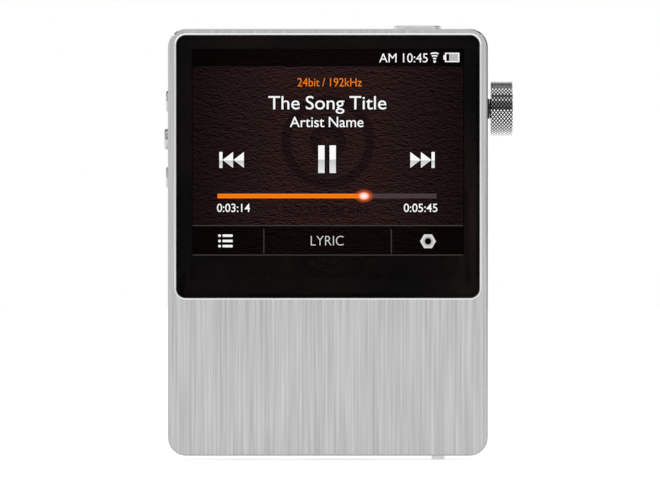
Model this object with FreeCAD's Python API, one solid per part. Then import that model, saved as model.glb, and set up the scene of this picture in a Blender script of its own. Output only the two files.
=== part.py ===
"""A pocket digital audio player: an aluminium unibody with a glass screen window, a knurled volume knob
on its right side, three round keys on its left, a power key and two 3.5 mm jacks on top, and a micro-USB
port and a sliding card door at the bottom.

Millimetres. +X is the player's right as its screen is seen, -Y is the way the screen faces, +Z is up.
The origin is the centre of the rear glass's outer face. One STEP per piece goes to parts/.
"""

import FreeCAD, Part
import math
import os

# --- Body ---
body_width = 59.2
body_height = 79.0
body_depth = 14.4  # from the front glass to the rear glass
corner_radius = 3.4
edge_chamfer = 0.25
side_wall = 2.0
top_wall = 2.0
bottom_wall = 2.2
front_wall = 1.9
cavity_radius = 1.2
boss_width = 4.6
boss_radius = 0.8
fit_gap = 0.1  # around a piece that only sits in its place

# --- Front window ---
front_glass_side_margin = 1.475
front_glass_top_margin = 1.11
front_glass_height = 48.74
front_glass_thickness = 0.9
front_glass_radius = 1.8
glass_edge_chamfer = 0.12
window_gap = 0.04
window_bevel_width = 0.22
window_bevel_depth = 0.08
border_print_thickness = 0.06
window_tape_thickness = 0.09
window_tape_width = 0.9

# --- Display ---
picture_width = 50.1
picture_height = 38.15
picture_top_offset = 3.81  # from the top of the body
print_overlap = 0.15  # from the picture to the printed border
cell_side_border = 0.9
cell_top_border = 0.7
cell_bottom_border = 4.4
cell_thickness = 0.9
touch_film_thickness = 0.14
backlight_thickness = 1.1
shield_sheet = 0.2
shield_height = 1.9
shield_radius = 0.4
flex_width = 16.0
flex_thickness = 0.15
flex_drop = 3.4  # from the display shield's lower edge to the fold
flex_socket_rise = 2.4
flex_socket_thickness = 1.0
flex_socket_margin = 0.6

# --- Rear cover ---
rear_margin = 1.3
rear_glass_thickness = 0.8
rear_glass_proud = 0.1
rear_tape_thickness = 0.15
rear_tape_width = 4.0
rear_cover_thickness = 1.2

# --- Screws ---
screw_radius = 0.7
screw_length = 5.0
screw_head_radius = 1.3
screw_head_height = 0.7
screw_recess_depth = 0.8
small_screw_length = 2.2
small_screw_head_height = 0.5
drive_slot_width = 0.35
drive_slot_depth = 0.3

# --- Inner frame and board ---
display_to_chassis = 0.1
chassis_thickness = 0.8
board_thickness = 0.8
board_top_setback = 2.9  # the board ends this far below the inside of the top wall
standoff_radius = 1.7
post_radius = 2.0
terminal_thickness = 0.3
terminal_reach = 1.1  # over the board, past the edge that it is soldered at

# --- Shields and chips on the board's front ---
can_width = 19.5
can_length = 19.5
can_height = 1.3
can_sheet = 0.2
can_radius = 0.6
can_apart = 1.6
digital_can_left = -21.0
# Each chip: its centre from its can's lower left corner, its width and height, and its thickness.
processor_place = (7.0, 10.5, 12.0, 12.0, 1.0)
memory_places = [(16.2, 5.2, 5.0, 7.0, 0.9), (16.2, 14.2, 5.0, 7.0, 0.9)]
converter_place = (6.0, 10.5, 7.0, 7.0, 0.8)
amplifier_place = (14.4, 13.0, 4.0, 4.0, 0.7)
capacitor_places = [(12.8, 5.4, 1.8, 3.0, 1.0), (15.8, 5.4, 1.8, 3.0, 1.0)]
choke_places = [(6.0 + 4.5 * n, -17.6, 2.6, 2.6, 1.2) for n in range(5)]

# --- Wireless module on the board's back ---
wireless_x = 8.2
wireless_width = 6.0
wireless_height = 8.0
wireless_base_thickness = 0.6
wireless_lid_thickness = 0.9
wireless_lid_margin = 0.4
wireless_aerial_height = 2.4  # left bare at its upper edge

# --- Battery ---
battery_gap = 0.2
battery_side_gap = 1.0
battery_radius = 1.5
battery_pad_inset = 3.0
lead_radius = 0.25
lead_bend = 0.15
lead_apart = 1.5
lead_x = -1.2
lead_knee = 1.2  # from the battery's edge to where a lead turns to its plug
lead_end = 0.3  # of a lead's straight run into its plug
plug_rise = 3.6  # from the battery's edge to the plug's centre
plug_width = 3.6
plug_height = 2.0
plug_thickness = 1.3

# --- Volume knob ---
knob_radius = 5.05
knob_length = 4.0
knob_drop = 14.65  # from the top of the body to the knob's axis
knob_wall_gap = 0.66
knurl_count = 40
knurl_pitch = 0.6
knurl_depth = 0.24
knob_end_taper = 0.3
knob_dish_radius = 3.7
knob_dish_depth = 0.25
knob_bore_depth = 2.8
knob_boss_radius = 1.85
knob_boss_height = 0.2
shaft_radius = 1.0
shaft_clearance = 0.05
bushing_radius = 1.9
bushing_proud = 0.4
bushing_edge = 0.1
encoder_length = 4.5
encoder_depth = 5.2
encoder_height = 11.7
encoder_wall = 0.7
rotor_radius = 2.2
rotor_hub_radius = 1.6
rotor_thickness = 0.8
rotor_clearance = 0.2
encoder_pin_width = 0.6

# --- Side keys ---
side_key_radius = 1.98
side_key_pitch = 7.1
side_key_drop = 20.35  # from the top of the body to the middle key
side_key_proud = 0.52
play_key_proud = 0.81
side_key_edge = 0.3
side_key_travel = 0.35
key_clearance = 0.1
key_flange = 0.5
key_flange_thickness = 0.45
side_nib_radius = 0.8
side_nib_length = 0.85
press_clearance = 0.03  # left between a pressed key's nib and its switch
switch_width = 3.0
side_switch_height = 1.2
switch_button_height = 0.4
switch_button_radius = 0.75
side_board_thickness = 0.6
side_board_width = 5.2
bracket_sheet = 0.3
bracket_foot = 1.8
bracket_foot_height = 6.0

# --- Power key ---
power_key_x = 16.7
power_key_length = 9.0
power_key_width = 4.0
power_key_proud = 0.77
power_key_edge = 0.32
power_key_travel = 0.4
power_nib_width = 1.8
power_nib_length = 0.9
power_switch_width = 4.6
power_switch_depth = 2.4
power_switch_height = 2.5
power_button_width = 1.6
power_button_depth = 1.0

# --- Jacks ---
headphone_jack_x = -19.5
line_in_jack_x = -7.5
jack_bore_radius = 1.8
jack_bore_depth = 13.9
jack_nose_radius = 2.4
jack_nose_setback = 0.1
jack_width = 6.2
jack_depth = 5.2
jack_end_wall = 1.3
jack_mouth_chamfer = 0.2
jack_tab_width = 0.8
jack_tab_pitch = 1.8
ring_width = 0.7
ring_thickness = 0.5

# --- Micro-USB port ---
usb_x = -15.5
usb_width = 7.5
usb_depth = 2.75
usb_length = 5.6
usb_sheet = 0.3
usb_setback = 0.4
usb_hole_gap = 0.3
usb_tongue_width = 3.7
usb_tongue_thickness = 0.6
usb_back_wall = 1.0
usb_lug_height = 1.5
usb_lug_reach = 0.6

# --- Card door and sockets ---
door_knob_x = 20.5
door_knob_radius = 1.26
door_knob_proud = 0.88
door_knob_stem_radius = 0.7
door_knob_from_end = 1.9
door_knob_edge = 0.12
door_length = 14.3
door_width = 5.2
door_flange_thickness = 0.8
door_flange_margin = 0.7
door_end_margin = 0.4
door_lip = 0.6
door_travel = 12.9
door_clearance = 0.05
door_setback = 0.05
track_thickness = 1.2
track_margin = 0.4
card_slot_width = 11.2
card_slot_height = 0.9
socket_width = 13.6
socket_thickness = 1.45
socket_length = 14.6
socket_back_wall = 0.6
socket_to_track = 0.05

# --- Planes and limits worked out from the sizes above ---
half_width = body_width / 2
top_z = body_height / 2
bottom_z = -body_height / 2
front_y = -body_depth
mid_y = front_y / 2
housing_back_y = -rear_glass_proud

cavity_x = half_width - side_wall
cavity_top = top_z - top_wall
cavity_bottom = bottom_z + bottom_wall
cavity_front_y = front_y + front_wall

rear_tape_y = -rear_glass_thickness - rear_tape_thickness
rear_seat_y = rear_tape_y - rear_cover_thickness
recess_x = half_width - rear_margin
recess_z = top_z - rear_margin
recess_radius = corner_radius - rear_margin

glass_x = half_width - front_glass_side_margin
glass_top = top_z - front_glass_top_margin
glass_bottom = glass_top - front_glass_height
glass_back_y = front_y + front_glass_thickness
print_back_y = glass_back_y + border_print_thickness
ledge_y = print_back_y + window_tape_thickness

picture_top = top_z - picture_top_offset
picture_bottom = picture_top - picture_height
picture_x = picture_width / 2
cell_x = picture_x + cell_side_border
cell_top = picture_top + cell_top_border
cell_bottom = picture_bottom - cell_bottom_border
cell_front_y = print_back_y + touch_film_thickness
cell_back_y = cell_front_y + cell_thickness
light_back_y = cell_back_y + backlight_thickness
shield_back_y = light_back_y + shield_sheet
shield_front_y = shield_back_y - shield_height
shield_x = cell_x + shield_sheet
shield_top = cell_top + shield_sheet
shield_bottom = cell_bottom - shield_sheet

chassis_front_y = shield_back_y + display_to_chassis
chassis_back_y = chassis_front_y + chassis_thickness
board_front_y = mid_y - board_thickness / 2
board_back_y = mid_y + board_thickness / 2

knob_z = top_z - knob_drop
bushing_end_x = half_width + bushing_proud
knob_x = half_width + knob_wall_gap
encoder_x = cavity_x - encoder_length

side_key_z = top_z - side_key_drop
key_flange_x = -cavity_x + key_flange_thickness
side_nib_x = key_flange_x + side_nib_length
side_switch_x = side_nib_x + side_key_travel + press_clearance
side_board_x = side_switch_x + side_switch_height
bracket_x = side_board_x + side_board_thickness
bracket_back_x = bracket_x + bracket_sheet
side_row_half = side_key_pitch + side_key_radius + key_flange

power_flange_z = cavity_top - key_flange_thickness
power_nib_z = power_flange_z - power_nib_length
power_switch_z = power_nib_z - power_key_travel - press_clearance
power_switch_low = power_switch_z - power_switch_height

jack_bottom = top_z - jack_nose_setback - jack_bore_depth - jack_end_wall
ring_radius = jack_nose_radius + ring_width

door_right = door_knob_x + door_knob_from_end
door_left = door_right - door_length
lip_z = bottom_z + door_lip
track_z = lip_z + door_flange_thickness + 2 * door_clearance
track_top = track_z + track_thickness
groove_left = door_left - door_end_margin - door_travel - key_clearance
groove_right = door_right + door_end_margin + key_clearance
groove_half_width = door_width / 2 + door_flange_margin + key_clearance
track_left = groove_left - track_margin
track_right = groove_right + track_margin
track_half_width = groove_half_width + track_margin
card_x = (door_left + door_right) / 2
socket_z = track_top + socket_to_track
socket_top = socket_z + socket_length
socket_offset = (board_thickness + socket_thickness) / 2
card_places = {"front": mid_y - socket_offset, "rear": mid_y + socket_offset}

usb_z = bottom_z + usb_setback
usb_top = usb_z + usb_length

board_x = cavity_x - fit_gap
board_top = cavity_top - board_top_setback
board_bottom = track_top + fit_gap

battery_left = bracket_back_x + battery_side_gap
battery_right = cavity_x - battery_side_gap
battery_bottom = socket_top + battery_side_gap
battery_top = min(jack_bottom, knob_z - encoder_height / 2) - battery_side_gap
battery_front_y = board_back_y + battery_gap
battery_back_y = rear_seat_y - battery_gap

ribbon_z = shield_bottom - flex_drop
ribbon_slot = (ribbon_z - 2 * flex_thickness, ribbon_z + 2 * flex_thickness)
ribbon_up_y = (board_front_y - 2 * flex_thickness, board_front_y - flex_thickness)
can_bottom = cell_bottom + flex_socket_rise + can_apart
analog_can_left = digital_can_left + can_width + can_apart
plug_z = battery_top + plug_rise
wireless_z = battery_top + wireless_height + battery_side_gap

side_key_rows = {
    "previous": (side_key_z + side_key_pitch, side_key_proud),
    "play": (side_key_z, play_key_proud),
    "next": (side_key_z - side_key_pitch, side_key_proud),
}
jack_places = {"headphone": headphone_jack_x, "line_in": line_in_jack_x}

boss_x = cavity_x - boss_width / 2
boss_top_z = cavity_top - boss_width / 2
boss_bottom_z = cavity_bottom + boss_width / 2
mid_top_boss_x = (line_in_jack_x + ring_radius + power_key_x - power_key_length / 2) / 2
port_boss_z = usb_top + boss_width / 2 + 2 * fit_gap
upper_bosses = [(-boss_x, boss_top_z), (mid_top_boss_x, boss_top_z), (boss_x, boss_top_z)]
lower_bosses = [(-boss_x, boss_bottom_z), (usb_x, port_boss_z), (boss_x, boss_bottom_z)]

board_row_z = battery_top + standoff_radius
board_low_z = socket_top - 2 * standoff_radius
board_screw_points = [
    ((headphone_jack_x + line_in_jack_x) / 2, board_row_z),
    (power_key_x, board_row_z),
    (-boss_x + standoff_radius, board_low_z),
    (boss_x, board_low_z),
]
post_z = glass_bottom - flex_drop - post_radius
low_post_z = boss_bottom_z + boss_width / 2 + post_radius + fit_gap
chassis_screw_points = [(-boss_x / 2, post_z), (boss_x / 2, post_z), (-boss_x, low_post_z)]


# --- Shapes ---
def place(axis, u, v, along):
    """The point at u and v across the axis and at along on it. Across X are Y and Z, across Y are X and
    Z, and across Z are X and Y."""
    orders = {"X": (along, u, v), "Y": (u, along, v), "Z": (u, v, along)}
    return FreeCAD.Vector(*orders[axis])


def outline(axis, u, v, along, radius):
    """A rectangle across the axis, with round corners if it has a radius."""
    (u0, u1), (v0, v1) = u, v
    radius = min(radius, (u1 - u0) / 2, (v1 - v0) / 2)
    if radius <= 0:
        corners = [(u0, v0), (u1, v0), (u1, v1), (u0, v1), (u0, v0)]
        return Part.makePolygon([place(axis, a, b, along) for a, b in corners])
    corner_centres = [
        (u1 - radius, v0 + radius, -90),
        (u1 - radius, v1 - radius, 0),
        (u0 + radius, v1 - radius, 90),
        (u0 + radius, v0 + radius, 180),
    ]
    edges = []
    last = None
    for centre_u, centre_v, start in corner_centres:
        arc = []
        for turn in (0, 45, 90):
            angle = math.radians(start + turn)
            point = (centre_u + radius * math.cos(angle), centre_v + radius * math.sin(angle))
            arc.append(place(axis, *point, along))
        if last is not None and last.distanceToPoint(arc[0]) > 1e-6:
            edges.append(Part.makeLine(last, arc[0]))
        edges.append(Part.Arc(*arc).toShape())
        last = arc[2]
    first = edges[0].Vertexes[0].Point
    if last.distanceToPoint(first) > 1e-6:
        edges.append(Part.makeLine(last, first))
    return Part.Wire(edges)


def prism(axis, u, v, span, radius=0.0):
    """A solid of that outline, from span's first value to its second along the axis."""
    face = Part.Face(outline(axis, u, v, span[0], radius))
    return face.extrude(place(axis, 0, 0, span[1] - span[0]))


def centred(axis, centre_u, centre_v, width, height, span, radius=0.0):
    """A prism by its centre and its two widths."""
    u = (centre_u - width / 2, centre_u + width / 2)
    v = (centre_v - height / 2, centre_v + height / 2)
    return prism(axis, u, v, span, radius)


def grown_rectangle(axis, x, z, margin, span, radius=0.0):
    """A prism between two pairs of limits, each moved out by the margin."""
    return prism(axis, (x[0] - margin, x[1] + margin), (z[0] - margin, z[1] + margin), span, radius)


def cylinder(axis, centre_u, centre_v, radius, span):
    """A round bar along the axis."""
    base = place(axis, centre_u, centre_v, span[0])
    return Part.makeCylinder(radius, span[1] - span[0], base, place(axis, 0, 0, 1))


def edges_on(shape, axis, along):
    """The shape's edges that lie wholly in the plane at along."""
    found = []
    for edge in shape.Edges:
        box = edge.BoundBox
        spans = {"X": (box.XMin, box.XMax), "Y": (box.YMin, box.YMax), "Z": (box.ZMin, box.ZMax)}
        if all(abs(limit - along) < 1e-4 for limit in spans[axis]):
            found.append(edge)
    return found


def circle_on(shape, along, radius):
    """The shape's round edges of that radius in the plane at along on Z."""
    width = 2 * radius
    return [e for e in edges_on(shape, "Z", along) if abs(e.BoundBox.XLength - width) < 1e-3]


def join(pieces):
    """One shape from several that overlap or touch."""
    whole = pieces[0]
    for piece in pieces[1:]:
        whole = whole.fuse(piece)
    return whole.removeSplitter()


def cut_all(shape, tools):
    for tool in tools:
        shape = shape.cut(tool)
    return shape


def through(span):
    """A span that runs clear past both ends of another."""
    return (span[0] - 1, span[1] + 1)


def screw(x, z, head_back_y, head_height, length):
    """A slotted pan-head screw, driven from the back, whose shank is as long as length."""
    seat = head_back_y - head_height
    head = cylinder("Y", x, z, screw_head_radius, (seat, head_back_y))
    shank = cylinder("Y", x, z, screw_radius, (seat - length, seat))
    slot_span = (head_back_y - drive_slot_depth, head_back_y + 1)
    slot = centred("Y", x, z, 3 * screw_head_radius, drive_slot_width, slot_span)
    return join([head, shank]).cut(slot)


def tube(points, radius, bend):
    """A round tube along straight runs that tangent arcs of the radius bend join."""
    edges = []
    start = points[0]
    for before, corner, after in zip(points, points[1:], points[2:]):
        back = (before - corner).normalize()
        ahead = (after - corner).normalize()
        half = back.getAngle(ahead) / 2
        reach = bend / math.tan(half)
        middle = (back + ahead).normalize() * (bend / math.sin(half) - bend)
        arc = (corner + back * reach, corner + middle, corner + ahead * reach)
        edges += [Part.makeLine(start, arc[0]), Part.Arc(*arc).toShape()]
        start = arc[2]
    edges.append(Part.makeLine(start, points[-1]))
    profile = Part.Wire([Part.makeCircle(radius, points[0], points[1] - points[0])])
    return Part.Wire(edges).makePipeShell([profile], True, False)


# --- Housing ---
def key_openings():
    """The holes in the walls for the keys and for the knob's bearing."""
    wall = (-half_width - 1, -cavity_x + 1)
    cuts = [cylinder("X", mid_y, z, side_key_radius + key_clearance, wall) for z, _ in side_key_rows.values()]
    cuts.append(cylinder("X", mid_y, knob_z, bushing_radius, (cavity_x - 1, half_width + 1)))
    length = power_key_length + 2 * key_clearance
    width = power_key_width + 2 * key_clearance
    cuts.append(centred("Z", power_key_x, mid_y, length, width, (cavity_top - 1, top_z + 1), width / 2))
    return cuts


def socket_openings():
    """The holes in the top wall for the jacks and their rings, and in the bottom wall for the port."""
    cuts = []
    for x in jack_places.values():
        cuts.append(cylinder("Z", x, mid_y, jack_nose_radius, (cavity_top - 1, top_z + 1)))
        cuts.append(cylinder("Z", x, mid_y, ring_radius, (top_z - ring_thickness, top_z + 1)))
    width = usb_width + 2 * usb_hole_gap
    depth = usb_depth + 2 * usb_hole_gap
    cuts.append(centred("Z", usb_x, mid_y, width, depth, (bottom_z - 1, cavity_bottom + 1), depth / 4))
    return cuts


def door_openings():
    """The window in the bottom wall, the grooves above its lips, and the seat of the track."""
    window_x = (door_left - door_travel - key_clearance, door_right + key_clearance)
    window_y = (mid_y - door_width / 2, mid_y + door_width / 2)
    window_y = (window_y[0] - key_clearance, window_y[1] + key_clearance)
    window = prism("Z", window_x, window_y, (bottom_z - 1, lip_z + 1), edge_chamfer)
    groove_y = (mid_y - groove_half_width, mid_y + groove_half_width)
    groove = prism("Z", (groove_left, groove_right), groove_y, (lip_z, cavity_bottom + 1))
    seat_y = (mid_y - track_half_width, mid_y + track_half_width)
    seat = prism("Z", (track_left, track_right), seat_y, (track_z, cavity_bottom + 1))
    return [window, groove, seat]


def window_bevel():
    """A block that narrows towards the glass and cuts a shallow bevel round it."""
    ends = []
    wide = window_gap + 2 * window_bevel_width
    for margin, depth in ((wide, -window_bevel_depth), (window_gap, window_bevel_depth)):
        x = (-glass_x - margin, glass_x + margin)
        z = (glass_bottom - margin, glass_top + margin)
        ends.append(outline("Y", x, z, front_y + depth, front_glass_radius + margin))
    return Part.makeLoft(ends, True, True)


def housing_shell():
    """The outer block with its cavity, its rear recess and its front window."""
    shell = prism(
        "Y", (-half_width, half_width), (bottom_z, top_z), (front_y, housing_back_y), corner_radius
    )
    rims = edges_on(shell, "Y", front_y) + edges_on(shell, "Y", housing_back_y)
    shell = shell.makeChamfer(edge_chamfer, rims)
    cavity_z = (cavity_bottom, cavity_top)
    cavity = prism("Y", (-cavity_x, cavity_x), cavity_z, (cavity_front_y, 1), cavity_radius)
    recess = prism("Y", (-recess_x, recess_x), (-recess_z, recess_z), (rear_seat_y, 1), recess_radius)
    pocket = glass_outline(window_gap, (front_y - 1, ledge_y))
    opening = grown_rectangle(
        "Y",
        (-shield_x, shield_x),
        (shield_bottom, shield_top),
        fit_gap,
        (front_y, cavity_front_y + 1),
        shield_radius + fit_gap,
    )
    return cut_all(shell, [cavity, recess, pocket, opening, window_bevel()])


def housing():
    upper_span = (shield_back_y + display_to_chassis / 2, rear_seat_y)
    lower_span = (cavity_front_y, rear_seat_y)
    added = [centred("Y", x, z, boss_width, boss_width, upper_span) for x, z in upper_bosses]
    added += [centred("Y", x, z, boss_width, boss_width, lower_span) for x, z in lower_bosses]
    for x, z in chassis_screw_points:
        added.append(cylinder("Y", x, z, post_radius, (cavity_front_y, chassis_front_y)))
    block = join([housing_shell(), *added])

    screw_span = (rear_seat_y - screw_length, rear_seat_y)
    holes = [cylinder("Y", x, z, screw_radius, screw_span) for x, z in upper_bosses + lower_bosses]
    tapped = (chassis_back_y - small_screw_length, chassis_front_y)
    holes += [cylinder("Y", x, z, screw_radius, tapped) for x, z in chassis_screw_points]
    return cut_all(block, holes + key_openings() + socket_openings() + door_openings())


# --- Front window and display ---
def glass_outline(margin, span):
    """The front glass's outline grown by a margin."""
    radius = front_glass_radius + margin
    return grown_rectangle("Y", (-glass_x, glass_x), (glass_bottom, glass_top), margin, span, radius)


def front_glass():
    glass = glass_outline(0, (front_y, glass_back_y))
    return glass.makeChamfer(glass_edge_chamfer, edges_on(glass, "Y", front_y))


def glass_border_print():
    """The black print on the back of the glass, around the picture."""
    span = (glass_back_y, print_back_y)
    window = grown_rectangle(
        "Y", (-picture_x, picture_x), (picture_bottom, picture_top), print_overlap, through(span)
    )
    return glass_outline(-glass_edge_chamfer, span).cut(window)


def window_tape():
    """The gasket that holds the glass on its ledge."""
    span = (print_back_y, ledge_y)
    hole_z = (
        min(shield_bottom - fit_gap, glass_bottom + window_tape_width),
        max(shield_top + fit_gap, glass_top - window_tape_width),
    )
    hole_x = (-shield_x - fit_gap, shield_x + fit_gap)
    hole = prism("Y", hole_x, hole_z, through(span), shield_radius + fit_gap)
    return glass_outline(-window_gap, span).cut(hole)


def display_layer(front, back):
    return prism("Y", (-cell_x, cell_x), (cell_bottom, cell_top), (front, back))


def display_shield():
    """A folded steel tray behind the backlight, with a mouth below for the ribbon."""
    span = (shield_front_y, shield_back_y)
    outer = prism("Y", (-shield_x, shield_x), (shield_bottom, shield_top), span, shield_radius)
    mouth_width = flex_width + 2 * fit_gap
    mouth = centred("Z", 0, cell_back_y, mouth_width, 2 * shield_sheet, (shield_bottom - 1, cell_bottom))
    return cut_all(outer, [display_layer(shield_front_y - 1, light_back_y), mouth])


def display_flex():
    """The ribbon from the cell's lower edge, through the inner frame, to its socket on the board."""
    half = flex_width / 2
    down_y = (cell_back_y - flex_thickness / 2, cell_back_y + flex_thickness / 2)
    fold_z = (ribbon_z - flex_thickness / 2, ribbon_z + flex_thickness / 2)
    down = prism("X", down_y, (fold_z[0], cell_bottom), (-half, half))
    across = prism("X", (down_y[0], ribbon_up_y[1]), fold_z, (-half, half))
    up = prism("X", ribbon_up_y, (fold_z[0], cell_bottom), (-half, half))
    return join([down, across, up])


def flex_socket():
    """The board's socket for the display ribbon, closed down over the ribbon's end."""
    width = flex_width + 2 * flex_socket_margin
    low = cell_bottom - flex_socket_margin
    front = board_front_y - flex_socket_thickness
    z = (low, cell_bottom + flex_socket_rise)
    case = prism("Y", (-width / 2, width / 2), z, (front, board_front_y), shield_radius)
    way = prism("X", ribbon_up_y, (low - 1, cell_bottom), (-flex_width / 2, flex_width / 2))
    return case.cut(way)


# --- Inner frame and board ---
def kept_places():
    """The rectangles in X and Z that the inner frame and the board leave to other pieces."""
    places = []
    for x, z in upper_bosses + lower_bosses:
        places.append((x - boss_width / 2, x + boss_width / 2, z - boss_width / 2, z + boss_width / 2))
    for x in jack_places.values():
        places.append((x - jack_width / 2, x + jack_width / 2, jack_bottom, cavity_top))
    half_switch = power_switch_width / 2
    half_key = power_key_length / 2 + key_flange
    places += [
        (encoder_x, cavity_x, knob_z - encoder_height / 2, knob_z + encoder_height / 2),
        (-cavity_x, bracket_back_x, side_key_z - side_row_half, side_key_z + side_row_half),
        (power_key_x - half_key, power_key_x + half_key, power_flange_z, cavity_top),
        (power_key_x - half_switch, power_key_x + half_switch, power_switch_low, cavity_top),
        (usb_x - usb_width / 2, usb_x + usb_width / 2, cavity_bottom, usb_top),
        (track_left, track_right, cavity_bottom, track_top),
    ]
    return places


def leave_places(plate, span, places):
    """Cut the places out of a plate, each with a gap round it."""
    cuts = [grown_rectangle("Y", (x0, x1), (z0, z1), fit_gap, through(span)) for x0, x1, z0, z1 in places]
    return cut_all(plate, cuts)


def chassis():
    """The inner frame: a plate behind the display with standoffs for the board."""
    span = (chassis_front_y, chassis_back_y)
    plate = grown_rectangle(
        "Y", (-cavity_x, cavity_x), (cavity_bottom, cavity_top), -fit_gap, span, cavity_radius
    )
    ribbon_way = prism(
        "Y", (-flex_width / 2 - fit_gap, flex_width / 2 + fit_gap), ribbon_slot, through(span)
    )
    sockets = (card_x - socket_width / 2, card_x + socket_width / 2, socket_z, socket_top)
    plate = leave_places(plate, span, kept_places() + [sockets]).cut(ribbon_way)
    post_span = (chassis_back_y, board_front_y)
    posts = [cylinder("Y", x, z, standoff_radius, post_span) for x, z in board_screw_points]
    tapped = (board_back_y - small_screw_length, board_front_y + 1)
    holes = [cylinder("Y", x, z, screw_radius, tapped) for x, z in board_screw_points]
    for x, z in chassis_screw_points:
        holes.append(cylinder("Y", x, z, screw_radius + fit_gap, through(span)))
    return cut_all(join([plate, *posts]), holes)


def main_board():
    span = (board_front_y, board_back_y)
    board = prism("Y", (-board_x, board_x), (board_bottom, board_top), span, cavity_radius)
    holes = [cylinder("Y", x, z, screw_radius, through(span)) for x, z in board_screw_points]
    return cut_all(leave_places(board, span, kept_places()), holes)


def small_screws(points, seat_y):
    """The screws whose heads stand on the plane at seat_y."""
    head_back_y = seat_y + small_screw_head_height
    return Part.makeCompound(
        [screw(x, z, head_back_y, small_screw_head_height, small_screw_length) for x, z in points]
    )


# --- Shields and chips ---
def shield_can(left):
    """A folded shield over one part of the board's front."""
    front = board_front_y - can_height
    x = (left, left + can_width)
    z = (can_bottom, can_bottom + can_length)
    outer = prism("Y", x, z, (front, board_front_y), can_radius)
    inner_span = (front + can_sheet, board_front_y + 1)
    return outer.cut(grown_rectangle("Y", x, z, -can_sheet, inner_span, can_radius - can_sheet))


def chips(left, places):
    """The chips on the board's front, from the lower left corner of their can."""
    made = []
    for x, z, width, height, thickness in places:
        span = (board_front_y - thickness, board_front_y)
        made.append(centred("Y", left + x, can_bottom + z, width, height, span))
    return Part.makeCompound(made)


def wireless_module():
    """The short-range radio, with its aerial's strip along its upper edge."""
    base_back = board_back_y + wireless_base_thickness
    x = (wireless_x - wireless_width / 2, wireless_x + wireless_width / 2)
    base = prism("Y", x, (wireless_z - wireless_height, wireless_z), (board_back_y, base_back))
    lid_x = (x[0] + wireless_lid_margin, x[1] - wireless_lid_margin)
    lid_z = (wireless_z - wireless_height + wireless_lid_margin, wireless_z - wireless_aerial_height)
    lid = prism("Y", lid_x, lid_z, (base_back, base_back + wireless_lid_thickness), wireless_lid_margin)
    return join([base, lid])


# --- Battery ---
def battery():
    x = (battery_left, battery_right)
    cell = prism(
        "Y", x, (battery_bottom, battery_top), (battery_front_y, battery_back_y), battery_radius
    )
    edges = edges_on(cell, "Y", battery_front_y) + edges_on(cell, "Y", battery_back_y)
    return cell.makeFillet(min(battery_radius, battery_back_y - battery_front_y) / 2, edges)


def battery_pad():
    """The double-sided pad that holds the battery on the board."""
    x = (battery_left, battery_right)
    span = (board_back_y, battery_front_y)
    return grown_rectangle("Y", x, (battery_bottom, battery_top), -battery_pad_inset, span)


def battery_leads():
    """The two wires from the battery's upper edge to its plug."""
    start_y = (battery_front_y + battery_back_y) / 2
    plug_y = board_back_y + plug_thickness / 2
    plug_low = plug_z - plug_height / 2
    route = [
        (start_y, battery_top),
        (start_y, battery_top + lead_knee),
        (plug_y, plug_low - lead_end),
        (plug_y, plug_low),
    ]
    wires = []
    for x in (lead_x - lead_apart / 2, lead_x + lead_apart / 2):
        wires.append(tube([FreeCAD.Vector(x, y, z) for y, z in route], lead_radius, lead_bend))
    return Part.makeCompound(wires)


def battery_plug():
    span = (board_back_y, board_back_y + plug_thickness)
    return centred("Y", lead_x, plug_z, plug_width, plug_height, span)


# --- Volume knob ---
def knurl_points(x0, x1, rows, columns):
    """Crests and hollows that alternate on a grid of half pitches. The end rows are drawn in."""
    points = []
    for row in range(rows + 1):
        taper = knob_end_taper if row in (0, rows) else 0.0
        for column in range(columns):
            hollow = knurl_depth if (row + column) % 2 == 0 else 0.0
            radius = knob_radius - taper - hollow
            angle = 2 * math.pi * column / columns
            y = mid_y + radius * math.cos(angle)
            z = knob_z + radius * math.sin(angle)
            points.append(FreeCAD.Vector(x0 + (x1 - x0) * row / rows, y, z))
    return points


def knurl_facets(rows, columns):
    """Two triangles for each cell of the grid, folded along the line between its hollows, and a fan of
    triangles over each end."""
    first = (rows + 1) * columns
    last = first + 1
    facets = []
    for column in range(columns):
        beside = (column + 1) % columns
        facets.append((first, beside, column))
        facets.append((last, rows * columns + column, rows * columns + beside))
        for row in range(rows):
            a = row * columns + column
            b = row * columns + beside
            c = b + columns
            d = a + columns
            if (row + column) % 2 == 1:
                facets += [(a, b, d), (b, c, d)]
            else:
                facets += [(a, b, c), (a, c, d)]
    return facets


def knurled_bar(x0, x1):
    """A bar along X whose side is a diamond knurl."""
    columns = 2 * knurl_count
    rows = round((x1 - x0) / (knurl_pitch / 2))
    points = knurl_points(x0, x1, rows, columns)
    points += [FreeCAD.Vector(x0, mid_y, knob_z), FreeCAD.Vector(x1, mid_y, knob_z)]
    shape = Part.Shape()
    shape.makeShapeFromMesh((points, knurl_facets(rows, columns)), 0.001)
    solid = Part.makeSolid(shape)
    return solid if solid.Volume > 0 else solid.reversed()


def volume_knob():
    knob = knurled_bar(knob_x, knob_x + knob_length).removeSplitter()
    boss_span = (knob_x - knob_boss_height, knob_x + knob_dish_depth)
    knob = knob.fuse(cylinder("X", mid_y, knob_z, knob_boss_radius, boss_span))
    dish_base = FreeCAD.Vector(knob_x + knob_length - knob_dish_depth, mid_y, knob_z)
    dish_depth = 2 * knob_dish_depth
    dish_base_radius = knob_dish_radius - knob_dish_depth
    dish_mouth_radius = dish_base_radius + dish_depth
    along_x = FreeCAD.Vector(1, 0, 0)
    dish = Part.makeCone(dish_base_radius, dish_mouth_radius, dish_depth, dish_base, along_x)
    bore = cylinder("X", mid_y, knob_z, shaft_radius, (knob_x - 1, knob_x + knob_bore_depth))
    return cut_all(knob, [dish, bore])


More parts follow.
